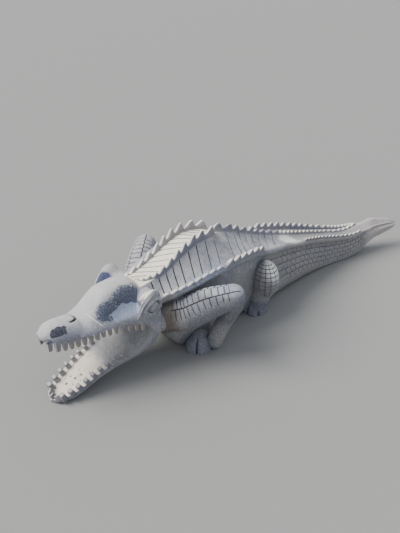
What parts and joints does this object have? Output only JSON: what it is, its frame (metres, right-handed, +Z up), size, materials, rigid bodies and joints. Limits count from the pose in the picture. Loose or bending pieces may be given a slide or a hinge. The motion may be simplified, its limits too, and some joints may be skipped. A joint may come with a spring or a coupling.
{
  "type": "crocodile sculpture",
  "caption": "Carved stone crocodile lying on its belly with open jaws, high elbows, saw-toothed crests along its back and an upturned tail.",
  "frame": {"origin": "on the ground under the middle of the belly, where the flat underside meets the floor", "axes": "-Y towards the nose, +Y towards the tail, +X to the animal's left, +Z up"},
  "size_m": [0.5928, 1.7978, 0.4414],
  "materials": {
    "stone": "matt carved pale grey stone, weathered, with darker patches on the head and feet"
  },
  "bodies": {
    "root": {"crocodile": "stone"}
  },
  "joints": []
}
